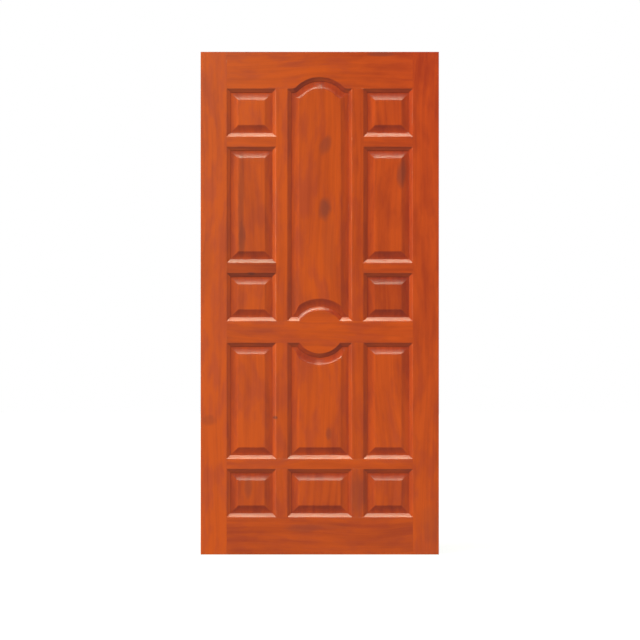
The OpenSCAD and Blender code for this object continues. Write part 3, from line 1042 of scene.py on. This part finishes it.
class DOOR_OT_shaped_panels(bpy.types.Operator):
    """Build the arched panel and the panel with a hollowed head"""

    bl_idname = "door.shaped_panels"
    bl_label = "Shaped panels"

    def execute(self, context):
        f = leaf()
        at = levels()

        def level(inset, reach):
            return [(-reach, inset), (reach, inset)]

        def arch_down(inset, reach):
            return [(x, -z) for x, z in arch_edge(inset, reach)]

        wide = f.centre_opening_w
        shaped_panel("arched_panel", at["lock_top_z"], at["top_z"], wide, arch_down, hump_edge)
        shaped_panel("lower_centre_panel", at["lower_top_z"], f.lock_rail_z, wide, hump_edge, level)
        return {"FINISHED"}


# Stage

WHITE = (1.0, 1.0, 1.0, 1.0)
FLOOR_R = 30.0
FLOOR_SHADE = 0.2  # part of the floor's look that takes shadows
FLOOR_GLOW = 0.82  # part of its look that doesn't
FLOOR_BOUNCE = 0.24  # grey level of the light that it throws back on the leaf
LAMP_GAP = 6.0  # only places the lamps' icons; their light is the same from any distance
SENSOR_W = 36.0
VIEW_END = 200.0
# the tall overhead light is a column of discs: width, lowest reach and step in degrees, then their shares
KEY_W, KEY_FIRST, KEY_STEP = 4.8, 18, 6
KEY_SHARES = (0.09, 0.18, 0.28, 0.42, 0.62, 0.64, 0.72, 0.85, 0.95, 0.95, 0.95)
# broad discs: reach, place around and width in degrees
BROAD_DISC = (32.0, -8.0, 56.0)
SIDE_DISC = (45.0, -70.0, 60.0)
LEFT_DISC = (85.0, -90.0, 30.0)
BACK_DISC = (130.0, 50.0, 60.0)
# rows of discs that carry the overhead light round the arch and the humps: reach, share, width, places around
WINGS = (
    (59, 1.22, 5.2, (-8, 6)),
    (59, 1.4, 5.2, (-56, -48, -40, -32, -24, -16)),
    (46, 0.62, 5.2, (-57, -48, -39, -30, -21, -12)),
    (46, 0.25, 4.0, (-5, 6)),
    (47, 0.16, 4.0, (12, 18)),
    (58, 0.3, 3.6, (14, 20)),
    (47, 0.08, 5.2, (26, 36)),
)


class DOOR_OT_stage(bpy.types.Operator):
    """Set up the floor, the lights and the camera"""

    bl_idname = "door.stage"
    bl_label = "Stage"

    def execute(self, context):
        scene = context.scene
        stage = scene.door_stage
        scene.view_settings.view_transform = "Standard"
        make_world(scene, stage)
        make_floor(scene)
        for i, share in enumerate(KEY_SHARES):
            reach = KEY_FIRST + KEY_STEP * i
            soft_light("key_light_%d" % reach, reach, 0.0, KEY_W, stage.key_light * share, stage.warmth)
        for reach, share, width, arounds in WINGS:
            for around in arounds:
                name = "wing_light_%d_%d" % (reach, around)
                soft_light(name, reach, around, width, stage.wing_light * share, stage.warmth)
        soft_light("broad_light", *BROAD_DISC, stage.broad_light)
        soft_light("side_light", *SIDE_DISC, stage.side_light, stage.side_colour)
        soft_light("left_light", *LEFT_DISC, stage.left_light, stage.side_colour)
        soft_light("back_light", *BACK_DISC, stage.back_light)
        camera = bpy.data.cameras.new("camera")
        camera.lens = stage.lens
        camera.sensor_width = SENSOR_W
        camera.clip_end = VIEW_END
        eye = bpy.data.objects.new("camera", camera)
        front = -leaf().leaf_t / 2
        eye.location = (stage.camera_x, front - stage.camera_gap, stage.camera_z)
        eye.rotation_euler = (math.radians(90), 0.0, 0.0)
        scene.collection.objects.link(eye)
        scene.camera = eye
        return {"FINISHED"}


def seen(tree):
    """1 where the camera, a gloss or a clear piece looks at the surface, 0 for the light it gives."""
    path = put(tree, "ShaderNodeLightPath").outputs
    some = calc(tree, "MAXIMUM", path["Is Camera Ray"], path["Is Glossy Ray"])
    return calc(tree, "MAXIMUM", some, path["Is Transmission Ray"])


def make_world(scene, stage):
    """White to look at, a plain grey level to light by."""
    world = bpy.data.worlds.new("studio")
    world.use_nodes = True
    tree = world.node_tree
    tree.nodes.clear()
    plain = put(tree, "ShaderNodeBackground", {"Color": WHITE, "Strength": stage.sky}).outputs[0]
    white = put(tree, "ShaderNodeBackground", {"Color": WHITE, "Strength": 1.0}).outputs[0]
    mixed = put(tree, "ShaderNodeMixShader", {0: seen(tree), 1: plain, 2: white}).outputs[0]
    end = tree.nodes.new("ShaderNodeOutputWorld")
    tree.links.new(mixed, end.inputs["Surface"])
    scene.world = world


def grey(tree, level):
    """A plain grey surface."""
    return put(tree, "ShaderNodeBsdfDiffuse", {"Color": (level, level, level, 1.0)}).outputs[0]


def make_floor(scene):
    """A broad pale floor that keeps the leaf's shadow."""
    mesh = bpy.data.meshes.new("floor")
    build = bmesh.new()
    bmesh.ops.create_circle(build, cap_ends=True, radius=FLOOR_R, segments=64)
    build.to_mesh(mesh)
    build.free()
    floor = bpy.data.objects.new("floor", mesh)
    scene.collection.objects.link(floor)
    material = bpy.data.materials.new("pale_floor")
    material.use_nodes = True
    tree = material.node_tree
    tree.nodes.clear()
    glow = put(tree, "ShaderNodeEmission", {"Color": WHITE, "Strength": FLOOR_GLOW}).outputs[0]
    shown = put(tree, "ShaderNodeAddShader", {0: grey(tree, FLOOR_SHADE), 1: glow}).outputs[0]
    parts = {0: seen(tree), 1: grey(tree, FLOOR_BOUNCE), 2: shown}
    mixed = put(tree, "ShaderNodeMixShader", parts).outputs[0]
    end = tree.nodes.new("ShaderNodeOutputMaterial")
    tree.links.new(mixed, end.inputs["Surface"])
    mesh.materials.append(material)


def soft_light(name, reach, around, width, level, colour=(1.0, 1.0, 1.0)):
    """An even disc of light from far off, in degrees.

    reach is its angle from straight ahead of the leaf, around its clock angle on the leaf with 0 at the top.
    """
    lamp = bpy.data.lights.new(name, "SUN")
    lamp.energy = level
    lamp.angle = math.radians(width)
    lamp.color = colour
    stand = bpy.data.objects.new(name, lamp)
    reach, around = math.radians(reach), math.radians(around)
    aside, up = math.sin(reach) * math.sin(around), math.sin(reach) * math.cos(around)
    toward = Vector((aside, -math.cos(reach), up))
    stand.location = toward * LAMP_GAP
    stand.rotation_euler = toward.to_track_quat("Z", "Y").to_euler()
    bpy.context.scene.collection.objects.link(stand)


class DOOR_PT_leaf(bpy.types.Panel):
    """Sizes, finish and steps of the door leaf"""

    bl_label = "Door leaf"
    bl_idname = "DOOR_PT_leaf"
    bl_space_type = "VIEW_3D"
    bl_region_type = "UI"
    bl_category = "Door"

    def draw(self, context):
        for key in GROUPS:
            group = getattr(context.scene, key)
            box = self.layout.box()
            for name in group.__annotations__:
                box.prop(group, name)
        for step in STEPS:
            self.layout.operator(step.bl_idname)


GROUPS = {
    "door_frame": DoorFrameSizes,
    "door_profile": DoorProfileSizes,
    "door_varnish": DoorVarnish,
    "door_stage": DoorStage,
}
STEPS = (
    DOOR_OT_stiles,
    DOOR_OT_straight_rails,
    DOOR_OT_shaped_rails,
    DOOR_OT_muntins,
    DOOR_OT_plain_panels,
    DOOR_OT_shaped_panels,
    DOOR_OT_stage,
)


def register():
    """Registers the groups, the steps and the panel."""
    for key, group in GROUPS.items():
        bpy.utils.register_class(group)
        setattr(bpy.types.Scene, key, bpy.props.PointerProperty(type=group))
    for step in STEPS:
        bpy.utils.register_class(step)
    bpy.utils.register_class(DOOR_PT_leaf)


def unregister():
    """Removes what register added."""
    bpy.utils.unregister_class(DOOR_PT_leaf)
    for step in reversed(STEPS):
        bpy.utils.unregister_class(step)
    for key, group in GROUPS.items():
        delattr(bpy.types.Scene, key)
        bpy.utils.unregister_class(group)


def main():
    """Builds the leaf and its stage."""
    register()
    bpy.ops.door.stiles()
    bpy.ops.door.straight_rails()
    bpy.ops.door.shaped_rails()
    bpy.ops.door.muntins()
    bpy.ops.door.plain_panels()
    bpy.ops.door.shaped_panels()
    bpy.ops.door.stage()


if __name__ == "__main__":
    main()
